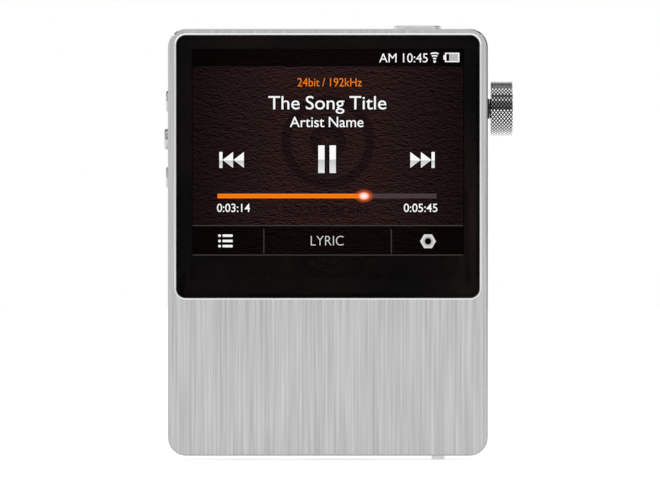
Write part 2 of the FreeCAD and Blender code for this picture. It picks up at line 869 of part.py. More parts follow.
def knob_shaft():
    span = (encoder_x + encoder_wall + fit_gap + rotor_thickness, knob_x + knob_bore_depth)
    return cylinder("X", mid_y, knob_z, shaft_radius, span)


def encoder_rotor():
    """The contact wheel pressed on the shaft's inner end."""
    start = encoder_x + encoder_wall + fit_gap
    disc = cylinder("X", mid_y, knob_z, rotor_radius, (start, start + rotor_thickness))
    hub = cylinder("X", mid_y, knob_z, rotor_hub_radius, (start, start + 2 * rotor_thickness))
    shaft_hole = (start + rotor_thickness, start + 3 * rotor_thickness)
    return join([disc, hub]).cut(cylinder("X", mid_y, knob_z, shaft_radius, shaft_hole))


def encoder_case():
    """The rotary encoder's case on the board's edge, hollow for its rotor."""
    case = centred("X", mid_y, knob_z, encoder_depth, encoder_height, (encoder_x, cavity_x))
    room_span = (encoder_x + encoder_wall, cavity_x - encoder_wall)
    room = cylinder("X", mid_y, knob_z, rotor_radius + rotor_clearance, room_span)
    bearing_way = cylinder("X", mid_y, knob_z, bushing_radius, (cavity_x - encoder_wall, cavity_x + 1))
    return cut_all(case, [room, bearing_way])


def encoder_bushing():
    """The bearing in the wall that the shaft turns in."""
    span = (cavity_x - encoder_wall, bushing_end_x)
    outer = cylinder("X", mid_y, knob_z, bushing_radius, span)
    outer = outer.makeChamfer(bushing_edge, edges_on(outer, "X", bushing_end_x))
    return outer.cut(cylinder("X", mid_y, knob_z, shaft_radius + shaft_clearance, through(span)))


def encoder_terminals():
    """Three solder pins from the encoder over the back of the board."""
    span = (board_back_y, board_back_y + terminal_thickness)
    x = (encoder_x - terminal_reach, encoder_x)
    pins = []
    for side in (-1, 0, 1):
        z = knob_z + side * encoder_height / 4
        pins.append(prism("Y", x, (z - encoder_pin_width / 2, z + encoder_pin_width / 2), span))
    return Part.makeCompound(pins)


# --- Keys ---
def side_key(z, proud):
    """A round cap with a flange inside the wall and a nib that presses its switch."""
    outer_x = -half_width - proud
    cap = cylinder("X", mid_y, z, side_key_radius, (outer_x, -cavity_x))
    cap = cap.makeFillet(side_key_edge, edges_on(cap, "X", outer_x))
    flange = cylinder("X", mid_y, z, side_key_radius + key_flange, (-cavity_x, key_flange_x))
    nib = cylinder("X", mid_y, z, side_nib_radius, (key_flange_x, side_nib_x))
    return join([cap, flange, nib])


def side_key_board():
    span = (side_board_x, bracket_x)
    return centred("X", mid_y, side_key_z, side_board_width, 2 * side_row_half, span)


def side_key_bracket():
    """The angle that carries the side board, with its foot on the front of the main board."""
    span = (bracket_x, bracket_back_x)
    plate = centred("X", mid_y, side_key_z, side_board_width, 2 * side_row_half, span)
    foot_x = (bracket_x, bracket_back_x + bracket_foot)
    foot_z = (side_key_z - bracket_foot_height / 2, side_key_z + bracket_foot_height / 2)
    foot = prism("Y", foot_x, foot_z, (board_front_y - bracket_sheet, board_front_y))
    return join([plate, foot])


def side_key_switches():
    """Three tactile switches, each with its round button."""
    button_x = side_switch_x + switch_button_height
    switches = []
    for z, _ in side_key_rows.values():
        case = centred("X", mid_y, z, switch_width, switch_width, (button_x, side_board_x))
        button = cylinder("X", mid_y, z, switch_button_radius, (side_switch_x, button_x))
        switches.append(join([case, button]))
    return Part.makeCompound(switches)


def power_key():
    """A long round-ended cap with a flange inside the wall and a nib that presses its switch."""
    outer_z = top_z + power_key_proud
    length = power_key_length
    width = power_key_width
    cap = centred("Z", power_key_x, mid_y, length, width, (cavity_top, outer_z), width / 2)
    cap = cap.makeFillet(power_key_edge, edges_on(cap, "Z", outer_z))
    length += 2 * key_flange
    width += 2 * key_flange
    flange = centred("Z", power_key_x, mid_y, length, width, (power_flange_z, cavity_top), width / 2)
    nib_span = (power_nib_z, power_flange_z)
    nib = centred("Z", power_key_x, mid_y, power_nib_width, power_nib_width, nib_span)
    return join([cap, flange, nib])


def power_switch():
    """The tactile switch in the board's upper edge, with its tabs over the back of the board."""
    case_top = power_switch_z - switch_button_height
    case_span = (power_switch_low, case_top)
    case = centred("Z", power_key_x, mid_y, power_switch_width, power_switch_depth, case_span)
    button_span = (case_top, power_switch_z)
    button = centred("Z", power_key_x, mid_y, power_button_width, power_button_depth, button_span)
    half = power_switch_width / 2 + terminal_reach
    tab_y = (board_back_y, board_back_y + terminal_thickness)
    tab_z = (power_switch_low, power_switch_low + terminal_reach)
    tabs = prism("Y", (power_key_x - half, power_key_x + half), tab_z, tab_y)
    return join([case, button, tabs])


# --- Jacks ---
def jack(x):
    """A 3.5 mm socket: a moulded body with a round nose through the top wall."""
    mouth = top_z - jack_nose_setback
    body = centred("Z", x, mid_y, jack_width, jack_depth, (jack_bottom, cavity_top))
    nose = cylinder("Z", x, mid_y, jack_nose_radius, (cavity_top, mouth))
    bore = cylinder("Z", x, mid_y, jack_bore_radius, (mouth - jack_bore_depth, mouth + 1))
    whole = join([body, nose]).cut(bore)
    return whole.makeChamfer(jack_mouth_chamfer, circle_on(whole, mouth, jack_bore_radius))


def jack_ring(x):
    """The trim ring set flush in the top wall around a jack's nose."""
    outer = cylinder("Z", x, mid_y, ring_radius, (top_z - ring_thickness, top_z))
    whole = outer.cut(cylinder("Z", x, mid_y, jack_nose_radius, (top_z - 2, top_z + 1)))
    return whole.makeChamfer(ring_thickness / 2, circle_on(whole, top_z, jack_nose_radius))


def jack_terminals():
    """The solder tabs below each jack, on the back of the board."""
    tabs = []
    for jack_x in jack_places.values():
        for side in (-1, 0, 1):
            x = jack_x + side * jack_tab_pitch
            tab_x = (x - jack_tab_width / 2, x + jack_tab_width / 2)
            tab_y = (board_back_y, board_back_y + terminal_thickness)
            tabs.append(prism("Y", tab_x, (jack_bottom - terminal_reach, jack_bottom), tab_y))
    return Part.makeCompound(tabs)


# --- Micro-USB port ---
def usb_profile(inset, span):
    """The port's outline across Z: a rectangle whose two front corners are cut at an angle."""
    half = usb_width / 2 - inset
    deep = usb_depth / 2 - inset
    slope = usb_depth / 3
    corners = [
        (-half, deep),
        (half, deep),
        (half, -deep + slope),
        (half - slope, -deep),
        (-half + slope, -deep),
        (-half, -deep + slope),
        (-half, deep),
    ]
    wire = Part.makePolygon([FreeCAD.Vector(usb_x + x, mid_y + y, span[0]) for x, y in corners])
    return Part.Face(wire).extrude(FreeCAD.Vector(0, 0, span[1] - span[0]))


def usb_shell():
    """The folded shell, with a solder lug over the board on each side."""
    shell = usb_profile(0, (usb_z, usb_top))
    lug_y = (board_back_y, board_back_y + terminal_thickness)
    lug_z = (usb_top - usb_lug_height - usb_back_wall, usb_top - usb_back_wall)
    half = usb_width / 2 + usb_lug_reach
    lugs = prism("Y", (usb_x - half, usb_x + half), lug_z, lug_y)
    return join([shell, lugs]).cut(usb_profile(usb_sheet, (usb_z - 1, usb_top - usb_back_wall)))


def usb_tongue():
    """The moulded tongue that carries the port's contacts."""
    y = mid_y + usb_depth / 2 - usb_sheet - 2 * usb_tongue_thickness
    span = (usb_z + usb_setback, usb_top - usb_back_wall)
    return centred("Z", usb_x, y, usb_tongue_width, usb_tongue_thickness, span)


# --- Card door and sockets ---
def card_door():
    """The sliding plate: a pad that fills half the window, on a flange that runs in the grooves."""
    flange_z = lip_z + door_clearance
    flange_top = flange_z + door_flange_thickness
    x = (door_left, door_right)
    pad_y = (mid_y - door_width / 2, mid_y + door_width / 2)
    flange_x = (x[0] - door_end_margin, x[1] + door_end_margin)
    flange_y = (pad_y[0] - door_flange_margin, pad_y[1] + door_flange_margin)
    flange = prism("Z", flange_x, flange_y, (flange_z, flange_top))
    pad = prism("Z", x, pad_y, (bottom_z + door_setback, flange_z), edge_chamfer)
    hole_span = (bottom_z - 1, flange_top + 1)
    return join([flange, pad]).cut(cylinder("Z", door_knob_x, mid_y, door_knob_stem_radius, hole_span))


def card_door_knob():
    """The small pin that a fingertip pushes, riveted through the door."""
    low = bottom_z - door_knob_proud
    seat = bottom_z + door_setback
    head = cylinder("Z", door_knob_x, mid_y, door_knob_radius, (low, seat))
    head = head.makeFillet(door_knob_edge, edges_on(head, "Z", low))
    stem_span = (seat, lip_z + door_clearance + door_flange_thickness)
    return join([head, cylinder("Z", door_knob_x, mid_y, door_knob_stem_radius, stem_span)])


def card_door_track():
    """The moulded floor behind the door, with a slit for each card."""
    span = (track_z, track_top)
    plate_y = (mid_y - track_half_width, mid_y + track_half_width)
    plate = prism("Z", (track_left, track_right), plate_y, span)
    width = card_slot_width + 2 * fit_gap
    height = card_slot_height + 2 * fit_gap
    slits = [centred("Z", card_x, y, width, height, through(span)) for y in card_places.values()]
    return cut_all(plate, slits)


def card_socket(y):
    case = centred("Z", card_x, y, socket_width, socket_thickness, (socket_z, socket_top))
    slot_span = (socket_z - 1, socket_top - socket_back_wall)
    return case.cut(centred("Z", card_x, y, card_slot_width, card_slot_height, slot_span))


# --- Rear cover ---
def recess_outline(margin, span):
    """The outline of the housing's rear recess, moved in by a margin."""
    x = (-recess_x, recess_x)
    return grown_rectangle("Y", x, (-recess_z, recess_z), -margin, span, recess_radius - margin)


def rear_cover():
    """The screwed plate that closes the body. Its screw heads lie in recesses."""
    span = (rear_seat_y, rear_tape_y)
    head_span = (rear_tape_y - screw_recess_depth, rear_tape_y + 1)
    holes = []
    for x, z in upper_bosses + lower_bosses:
        holes.append(cylinder("Y", x, z, screw_radius + fit_gap, through(span)))
        holes.append(cylinder("Y", x, z, screw_head_radius + fit_gap, head_span))
    return cut_all(recess_outline(fit_gap, span), holes)


def rear_cover_screws():
    head_back_y = rear_tape_y - screw_recess_depth + screw_head_height
    reach = screw_length + rear_cover_thickness - screw_recess_depth
    points = upper_bosses + lower_bosses
    return Part.makeCompound([screw(x, z, head_back_y, screw_head_height, reach) for x, z in points])


def rear_tape():
    """The adhesive frame between the rear cover and the rear glass."""
    span = (rear_tape_y, -rear_glass_thickness)
    inset = 2 * fit_gap
    return recess_outline(inset, span).cut(recess_outline(inset + rear_tape_width, through(span)))


def rear_glass():
    glass = recess_outline(fit_gap, (-rear_glass_thickness, 0))
    return glass.makeChamfer(glass_edge_chamfer, edges_on(glass, "Y", 0))


# --- All pieces, by node name ---
def all_pieces():
    analog_places = {
        "converter_chip": [converter_place],
        "amplifier_chip": [amplifier_place],
        "filter_capacitors": capacitor_places,
    }
    pieces = {
        "housing": housing(),
        "front_glass": front_glass(),
        "glass_border_print": glass_border_print(),
        "window_tape": window_tape(),
        "touch_panel": display_layer(print_back_y, cell_front_y),
        "display_cell": display_layer(cell_front_y, cell_back_y),
        "backlight": display_layer(cell_back_y, light_back_y),
        "display_shield": display_shield(),
        "display_flex": display_flex(),
        "flex_socket": flex_socket(),
        "chassis": chassis(),
        "chassis_screws": small_screws(chassis_screw_points, chassis_back_y),
        "main_board": main_board(),
        "board_screws": small_screws(board_screw_points, board_back_y),
        "digital_shield_can": shield_can(digital_can_left),
        "analog_shield_can": shield_can(analog_can_left),
        "processor_chip": chips(digital_can_left, [processor_place]),
        "memory_chips": chips(digital_can_left, memory_places),
        "power_chokes": chips(digital_can_left, choke_places),
        "wireless_module": wireless_module(),
        "battery": battery(),
        "battery_pad": battery_pad(),
        "battery_leads": battery_leads(),
        "battery_plug": battery_plug(),
        "volume_knob": volume_knob(),
        "knob_shaft": knob_shaft(),
        "encoder_rotor": encoder_rotor(),
        "encoder_case": encoder_case(),
        "encoder_bushing": encoder_bushing(),
        "encoder_terminals": encoder_terminals(),
        "side_key_board": side_key_board(),
        "side_key_bracket": side_key_bracket(),
        "side_key_switches": side_key_switches(),
        "power_key": power_key(),
        "power_switch": power_switch(),
        "jack_terminals": jack_terminals(),
        "usb_shell": usb_shell(),
        "usb_tongue": usb_tongue(),
        "card_door": card_door(),
        "card_door_knob": card_door_knob(),
        "card_door_track": card_door_track(),
        "rear_cover": rear_cover(),
        "rear_cover_screws": rear_cover_screws(),
        "rear_tape": rear_tape(),
        "rear_glass": rear_glass(),
    }
    for name, places in analog_places.items():
        pieces[name] = chips(analog_can_left, places)
    for name, (z, proud) in side_key_rows.items():
        pieces[name + "_key"] = side_key(z, proud)
    for name, x in jack_places.items():
        pieces[name + "_jack"] = jack(x)
        pieces[name + "_jack_ring"] = jack_ring(x)
    for name, y in card_places.items():
        pieces[name + "_card_socket"] = card_socket(y)
    return pieces


def main():
    os.makedirs("parts", exist_ok=True)
    for name, shape in all_pieces().items():
        if not shape.isValid() or shape.Volume <= 0:
            raise ValueError(name + " is not a sound solid")
        shape.exportStep(os.path.join("parts", name + ".step"))
        print(f"{name}: {len(shape.Solids)} solid, {shape.Volume:.2f} mm3")


main()
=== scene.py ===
"""The digital audio player's looks: hairline aluminium, chrome knurl, black glass, the lit screen behind
it, and the studio around it.

Sizes in the tables are millimetres and are turned to metres where a mesh is made. The screen's layout is
measured from the middle of its picture, to the right and up.
"""

import math

import bmesh
import bpy
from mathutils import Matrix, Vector


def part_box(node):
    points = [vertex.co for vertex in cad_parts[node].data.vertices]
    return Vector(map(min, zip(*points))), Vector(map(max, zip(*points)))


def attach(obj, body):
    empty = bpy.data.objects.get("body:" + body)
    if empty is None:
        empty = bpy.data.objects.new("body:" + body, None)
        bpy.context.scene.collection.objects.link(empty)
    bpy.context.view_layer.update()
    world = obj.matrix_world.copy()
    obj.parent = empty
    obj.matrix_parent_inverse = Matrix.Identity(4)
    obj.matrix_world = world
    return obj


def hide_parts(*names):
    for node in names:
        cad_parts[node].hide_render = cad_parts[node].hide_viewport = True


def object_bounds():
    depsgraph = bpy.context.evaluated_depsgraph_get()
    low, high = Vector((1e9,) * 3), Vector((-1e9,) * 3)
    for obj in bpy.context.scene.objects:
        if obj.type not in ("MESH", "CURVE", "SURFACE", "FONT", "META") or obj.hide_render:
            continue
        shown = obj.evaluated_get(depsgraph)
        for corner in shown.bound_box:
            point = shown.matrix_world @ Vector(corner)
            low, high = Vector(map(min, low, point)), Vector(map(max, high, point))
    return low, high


MM = 0.001

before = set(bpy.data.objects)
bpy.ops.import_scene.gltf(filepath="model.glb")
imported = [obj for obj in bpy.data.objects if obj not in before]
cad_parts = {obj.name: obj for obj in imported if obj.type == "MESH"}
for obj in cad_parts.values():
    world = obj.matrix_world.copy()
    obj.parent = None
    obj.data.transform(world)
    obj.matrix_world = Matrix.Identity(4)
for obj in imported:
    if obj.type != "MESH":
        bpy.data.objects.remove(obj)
cad_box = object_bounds()


# --- Node helpers ---
def add_node(tree, kind, inputs=None, **settings):
    """A shader node with its settings made and its inputs set or linked."""
    made = tree.nodes.new("ShaderNode" + kind)
    for key, value in settings.items():
        setattr(made, key, value)
    for socket, value in (inputs or {}).items():
        if isinstance(value, bpy.types.NodeSocket):
            tree.links.new(value, made.inputs[socket])
        else:
            made.inputs[socket].default_value = value
    return made


def calculate(tree, operation, *values):
    """A math node's result. Values are sockets or numbers."""
    return add_node(tree, "Math", dict(enumerate(values)), operation=operation).outputs[0]


def multiply(tree, *factors):
    made = factors[0]
    for factor in factors[1:]:
        made = calculate(tree, "MULTIPLY", made, factor)
    return made


def vector_math(tree, operation, *values):
    """A vector node's result. Values are sockets or vectors."""
    return add_node(tree, "VectorMath", dict(enumerate(values)), operation=operation).outputs[0]


def length(tree, vector):
    return add_node(tree, "VectorMath", {0: vector}, operation="LENGTH").outputs["Value"]


def plane_point(tree, across, up=0.0):
    """Two numbers as one vector."""
    return add_node(tree, "CombineXYZ", {0: across, 1: up}).outputs[0]


def remap(tree, value, from_low, from_high, to_low=0.0, to_high=1.0):
    """The value carried from one range to another, and held at its ends."""
    inputs = {0: value, 1: from_low, 2: from_high, 3: to_low, 4: to_high}
    return add_node(tree, "MapRange", inputs, clamp=True).outputs[0]


def blend(tree, factor, low, high):
    """The low number where the factor is 0 and the high one where it is 1."""
    return add_node(tree, "Mix", {0: factor, 2: low, 3: high}).outputs[0]


def blend_colors(tree, factor, low, high):
    """The low colour where the factor is 0 and the high one where it is 1."""
    inputs = {0: factor, 6: as_rgba(low), 7: as_rgba(high)}
    return add_node(tree, "Mix", inputs, data_type="RGBA").outputs[2]


def as_rgba(color):
    """A socket stays as it is. A grey or a colour becomes four numbers."""
    if isinstance(color, bpy.types.NodeSocket):
        return color
    if isinstance(color, (int, float)):
        return (color, color, color, 1.0)
    return (*color, 1.0)


def shaded(color, share):
    """A colour made darker or lighter, at most white."""
    return tuple(min(1.0, share * part) for part in color)


def object_vector(tree):
    """The place on the object in metres."""
    return add_node(tree, "TexCoord").outputs["Object"]


def object_place(tree):
    """The place on the object in metres, as its x, y and z."""
    return add_node(tree, "SeparateXYZ", {0: object_vector(tree)}).outputs


def facing(tree):
    """The x, y and z of the surface's own direction."""
    normal = add_node(tree, "NewGeometry").outputs["True Normal"]
    return add_node(tree, "SeparateXYZ", {0: normal}).outputs


def noise(tree, vector, per_metre, detail=2.0, roughness=0.5, distortion=0.0):
    """Fine noise. per_metre is its frequency along x, y and z."""
    if isinstance(per_metre, (int, float)):
        per_metre = (per_metre,) * 3
    inputs = {"Vector": vector_math(tree, "MULTIPLY", vector, per_metre), "Scale": 1.0}
    inputs |= {"Detail": detail, "Roughness": roughness, "Distortion": distortion}
    return add_node(tree, "TexNoise", inputs).outputs[0]


def bump(tree, height, depth):
    """A bumped normal from a height of 0 to 1 that is depth metres deep."""
    return add_node(tree, "Bump", {"Height": height, "Distance": depth, "Strength": 1.0}).outputs[0]


def distance_from(tree, middle, flat):
    """How far a point is from a middle, counting only the directions where flat is 1."""
    centred = vector_math(tree, "SUBTRACT", object_vector(tree), middle)
    return length(tree, vector_math(tree, "MULTIPLY", centred, flat))


def new_material(name, **sockets):
    """A material with its main shader's plain values set. Returns it, its tree and the shader's inputs."""
    material = bpy.data.materials.new(name)
    material.use_nodes = True
    shader = material.node_tree.nodes["Principled BSDF"]
    for socket, value in sockets.items():
        shader.inputs[socket.replace("_", " ")].default_value = value
    return material, material.node_tree, shader.inputs


def wire(tree, value, socket):
    tree.links.new(value, socket)


# --- Metals ---
RING_FREQUENCY = 9000.0
RING_DEPTH = 0.004 * MM
HAIRLINE_DEPTH = 0.004 * MM
GRAIN_DEPTH = 0.006 * MM
ACROSS_AXIS = {"X": (0.0, 1.0, 1.0), "Z": (1.0, 1.0, 0.0)}


def hairlines(tree, vector, across, along):
    """Brushing that runs along the height, and along the width on the top and bottom walls. across and
    along are its frequencies per metre."""
    upright = noise(tree, vector, (across, across, along), detail=2.0, roughness=0.6)
    level = noise(tree, vector, (along, across, across), detail=2.0, roughness=0.6)
    on_end = remap(tree, calculate(tree, "ABSOLUTE", facing(tree)[2]), 0.7, 0.72)
    return blend(tree, on_end, upright, level)


def near_window(tree):
    """1 in and just round the window, and 0 farther out."""
    x, _, z = object_place(tree)
    low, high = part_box("front_glass")
    inner = 0.5 * MM
    outer = 0.55 * MM
    beside = remap(tree, calculate(tree, "ABSOLUTE", x), high[0] + inner, high[0] + outer, 1.0, 0.0)
    above_foot = remap(tree, z, low[2] - outer, low[2] - inner)
    below_head = remap(tree, z, high[2] + inner, high[2] + outer, 1.0, 0.0)
    return multiply(tree, beside, above_foot, below_head)


def case_aluminium():
    """Anodised aluminium with hairlines. Its rims and the bevel round the window are cut, smooth and shiny;
    the bevel is coloured bright, and the outer rims are coloured darker than the faces, a painted shade
    along the edges.
    """
    material, tree, surface = new_material("case_aluminium", Metallic=1.0)
    vector = object_vector(tree)
    fine = hairlines(tree, vector, 2300.0, 40.0)
    broad = hairlines(tree, vector, 800.0, 20.0)
    turned = calculate(tree, "ABSOLUTE", facing(tree)[1])
    off_walls = remap(tree, turned, 0.3, 0.32)
    off_faces = remap(tree, turned, 0.98, 0.99, 1.0, 0.0)
    cut = multiply(tree, off_walls, off_faces)
    bevel = multiply(tree, near_window(tree), cut)
    streaks = calculate(tree, "ADD", multiply(tree, fine, 0.8), multiply(tree, broad, 0.2))
    brushed = blend_colors(tree, remap(tree, streaks, 0.25, 0.75), 0.44, 0.74)
    # painted shade: the cut outer rims get a darker base colour (0.38) than the brushed faces; the bevel
    # round the window is bright bare metal (0.82)
    rim_shade_and_polish = blend_colors(tree, bevel, 0.38, 0.82)
    wire(tree, blend_colors(tree, cut, brushed, rim_shade_and_polish), surface["Base Color"])
    brushed_roughness = remap(tree, fine, 0.3, 0.7, 0.42, 0.34)
    wire(tree, blend(tree, cut, brushed_roughness, 0.15), surface["Roughness"])
    lines = multiply(tree, fine, calculate(tree, "SUBTRACT", 1.0, cut))
    wire(tree, bump(tree, lines, HAIRLINE_DEPTH), surface["Normal"])
    return material


def turned_metal(name, color, node, roughness, axis="X"):
    """Metal turned on a lathe: fine rings round the middle of its node, and a little wear."""
    material, tree, surface = new_material(name, Metallic=1.0)
    low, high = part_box(node)
    middle = [(low[i] + high[i]) / 2 for i in range(3)]
    radius = distance_from(tree, middle, ACROSS_AXIS[axis])
    rings = noise(tree, plane_point(tree, radius), RING_FREQUENCY)
    wear = noise(tree, object_vector(tree), 1400.0, detail=3.0)
    tone = blend_colors(tree, remap(tree, rings, 0.3, 0.7), shaded(color, 0.82), shaded(color, 1.12))
    wire(tree, tone, surface["Base Color"])
    wire(tree, remap(tree, wear, 0.3, 0.7, roughness * 0.85, roughness * 1.2), surface["Roughness"])
    wire(tree, bump(tree, rings, RING_DEPTH), surface["Normal"])
    return material


def knurl_chrome_and_groove_shade(axis_y, axis_z, crest):
    """Chrome with turned rings on the ends. The bottoms of the knurl's grooves are rougher and coloured near
    black, a painted shade in the grooves.
    """
    material, tree, surface = new_material("knurl_chrome_and_groove_shade", Metallic=1.0)
    radius = distance_from(tree, (0.0, axis_y, axis_z), ACROSS_AXIS["X"])
    height = remap(tree, radius, crest - 0.2 * MM, crest - 0.05 * MM)
    on_end = remap(tree, calculate(tree, "ABSOLUTE", facing(tree)[0]), 0.9, 0.93)
    outside_groove_shade = calculate(tree, "MAXIMUM", height, on_end)
    rings = noise(tree, plane_point(tree, radius), RING_FREQUENCY)
    bright = blend_colors(tree, remap(tree, rings, 0.3, 0.7), (0.72, 0.725, 0.73), (0.84, 0.845, 0.85))
    # painted shade: near-black base colour (0.03) at the bottom of the knurl's grooves
    wire(tree, blend_colors(tree, outside_groove_shade, 0.03, bright), surface["Base Color"])
    wire(tree, remap(tree, outside_groove_shade, 0.0, 1.0, 0.35, 0.12), surface["Roughness"])
    wire(tree, bump(tree, multiply(tree, rings, on_end), RING_DEPTH), surface["Normal"])
    return material


def sheet_metal(name, color, roughness, grain=2600.0, spread=0.14):
    """Rolled, cast or plated metal with cloudy tone and a fine grain."""
    material, tree, surface = new_material(name, Metallic=1.0)
    vector = object_vector(tree)
    cloud = noise(tree, vector, 160.0, detail=4.0)
    fine = noise(tree, vector, grain, detail=3.0, roughness=0.6)
    both = calculate(tree, "ADD", multiply(tree, cloud, 0.5), multiply(tree, fine, 0.5))
    dark = shaded(color, 1.0 - spread)
    light = shaded(color, 1.0 + spread)
    wire(tree, blend_colors(tree, remap(tree, both, 0.35, 0.65), dark, light), surface["Base Color"])
    wire(tree, remap(tree, fine, 0.3, 0.7, roughness * 0.85, roughness * 1.2), surface["Roughness"])
    wire(tree, bump(tree, fine, GRAIN_DEPTH), surface["Normal"])
    return material


# --- Plastics, rubber, film and boards ---
def moulded(name, color, roughness, grain=2200.0, depth=0.01 * MM):
    """Moulded plastic or rubber with a fine grain."""
    material, tree, surface = new_material(name)
    vector = object_vector(tree)
    fine = noise(tree, vector, grain, detail=3.0, roughness=0.6)
    cloud = noise(tree, vector, 120.0, detail=3.0)
    tone = blend_colors(tree, remap(tree, cloud, 0.3, 0.7), shaded(color, 0.88), shaded(color, 1.12))
    wire(tree, tone, surface["Base Color"])
    wire(tree, remap(tree, fine, 0.3, 0.7, roughness * 0.9, roughness * 1.15), surface["Roughness"])
    wire(tree, bump(tree, fine, depth), surface["Normal"])
    return material


def circuit_board():
    """Dark green solder mask over a mesh of straight tracks."""
    sockets = {"Coat_Weight": 0.4, "Coat_Roughness": 0.15, "Roughness": 0.4}
    material, tree, surface = new_material("circuit_board", **sockets)
    x, _, z = object_place(tree)
    scaled = vector_math(tree, "MULTIPLY", plane_point(tree, x, z), (700.0, 700.0, 700.0))
    inputs = {"Vector": scaled, "Scale": 1.0, "Randomness": 0.55}
    cells = add_node(tree, "TexVoronoi", inputs, distance="MANHATTAN", feature="F1").outputs[0]
    track = remap(tree, cells, 0.42, 0.46)
    cloud = noise(tree, object_vector(tree), 300.0)
    mask = blend_colors(tree, cloud, (0.006, 0.03, 0.016), (0.01, 0.045, 0.025))
    wire(tree, blend_colors(tree, track, mask, (0.02, 0.09, 0.05)), surface["Base Color"])
    wire(tree, bump(tree, track, 0.02 * MM), surface["Normal"])
    return material


# --- Glass ---
GLASS_IOR = 1.42


def clear_glass(name, tint):
    """Clear glass that is seen through, and mirrors only at its outer surface."""
    material = bpy.data.materials.new(name)
    material.use_nodes = True
    tree = material.node_tree
    tree.nodes.remove(tree.nodes["Principled BSDF"])
    through = add_node(tree, "BsdfTransparent", {0: as_rgba(tint)}).outputs[0]
    smudge = noise(tree, object_vector(tree), 90.0, detail=4.0)
    roughness = remap(tree, smudge, 0.45, 0.75, 0.01, 0.05)
    mirror = add_node(tree, "BsdfAnisotropic", {"Roughness": roughness}).outputs[0]
    fresnel = add_node(tree, "Fresnel", {"IOR": GLASS_IOR}).outputs[0]
    inner_side = add_node(tree, "NewGeometry").outputs["Backfacing"]
    amount = multiply(tree, fresnel, calculate(tree, "SUBTRACT", 1.0, inner_side))
    mixed = add_node(tree, "MixShader", {0: amount, 1: through, 2: mirror}).outputs[0]
    wire(tree, mixed, tree.nodes["Material Output"].inputs["Surface"])
    return material


def black_glass():
    """Polished glass printed black on its inner face, with the faint smudges of handling."""
    material, tree, surface = new_material("black_glass", IOR=GLASS_IOR)
    smudge = noise(tree, object_vector(tree), 70.0, detail=4.0, distortion=0.4)
    wire(tree, blend_colors(tree, smudge, 0.004, 0.009), surface["Base Color"])
    wire(tree, remap(tree, smudge, 0.4, 0.75, 0.02, 0.09), surface["Roughness"])
    return material


def black_print():
    """Matt black ink on the glass's inner face, with faint brown patches in places that are a painted
    reflection.
    """
    material, tree, surface = new_material("black_print", Roughness=0.9, Specular_IOR_Level=0.0)
    cloud = remap(tree, noise(tree, object_vector(tree), 45.0, detail=1.0), 0.35, 0.7)
    # painted reflection: the brown patches in the black stand in for a reflection on the border
    ink = blend_colors(tree, cloud, (0.0034, 0.0033, 0.0033), (0.0105, 0.0072, 0.0068))
    wire(tree, ink, surface["Base Color"])
    return material


# --- The screen's light ---
PICTURE_X = 0.0
PICTURE_Z = 16.61
PICTURE_WIDTH = 50.1
PICTURE_HEIGHT = 38.15
HEAD_U = 6.68  # the progress bar's bright head
HEAD_V = -8.04


def srgb(red, green, blue):
    """A display colour of 0 to 255 as linear light."""
    made = []
    for value in (red, green, blue):
        share = value / 255
        made.append(share / 12.92 if share <= 0.04045 else ((share + 0.055) / 1.055) ** 2.4)
    return tuple(made)


def lit_material(name):
    """A material that only gives light. Returns it, its tree, the light's colour socket, and u and v: how
    far a point is across and up from the picture's middle, in millimetres."""
    sockets = {"Base_Color": (0.0, 0.0, 0.0, 1.0), "Roughness": 1.0, "Specular_IOR_Level": 0.0}
    material, tree, surface = new_material(name, Emission_Strength=1.0, **sockets)
    material.cycles.emission_sampling = "NONE"
    x, _, z = object_place(tree)
    u = calculate(tree, "SUBTRACT", calculate(tree, "DIVIDE", x, MM), PICTURE_X)
    v = calculate(tree, "SUBTRACT", calculate(tree, "DIVIDE", z, MM), PICTURE_Z)
    return material, tree, surface["Emission Color"], u, v


def head_glow(tree, color, u, v):
    """The colour lit up near the progress bar's head, and white hot at it."""
    across = multiply(tree, calculate(tree, "SUBTRACT", u, HEAD_U), 0.72)
    up = calculate(tree, "SUBTRACT", v, HEAD_V)
    gap = length(tree, plane_point(tree, across, up))
    near = calculate(tree, "POWER", remap(tree, gap, 0.55, 1.5, 1.0, 0.0), 2.0)
    hot = remap(tree, gap, 0.3, 0.75, 1.0, 0.0)
    lit = blend_colors(tree, near, color, srgb(255, 112, 38))
    return blend_colors(tree, hot, lit, srgb(255, 240, 228))


def leather_picture(name, shade):
    """Dark brown leather, fuller in the middle than at the sides. shade makes it darker."""
    material, tree, light, u, v = lit_material(name)
    here = plane_point(tree, u, v)
    above = vector_math(tree, "ADD", here, (0.04, 0.14, 0.0))
    relief = []
    for place in (here, above):
        relief.append(noise(tree, place, (0.8, 2.1, 1.0), detail=2.0, roughness=0.55, distortion=1.4))
    slope = calculate(tree, "SUBTRACT", relief[0], relief[1])
    tone = remap(tree, slope, -0.13, 0.13, 0.05 * shade, 2.1 * shade)
    side = remap(tree, calculate(tree, "ABSOLUTE", u), 9.0, 24.0)
    wall = blend_colors(tree, side, srgb(38, 23, 23), srgb(22, 13, 13))
    wall = add_node(tree, "VectorMath", {0: wall, "Scale": tone}, operation="SCALE").outputs[0]
    wire(tree, head_glow(tree, wall, u, v) if shade == 1 else wall, light)
    return material


def panel_light(name, color):
    """An even lit colour with a hint of the panel's own dots."""
    material, tree, light, u, v = lit_material(name)
    dots = noise(tree, plane_point(tree, u, v), 9.0, detail=1.0)
    wire(tree, blend_colors(tree, dots, shaded(color, 0.92), color), light)
    return material


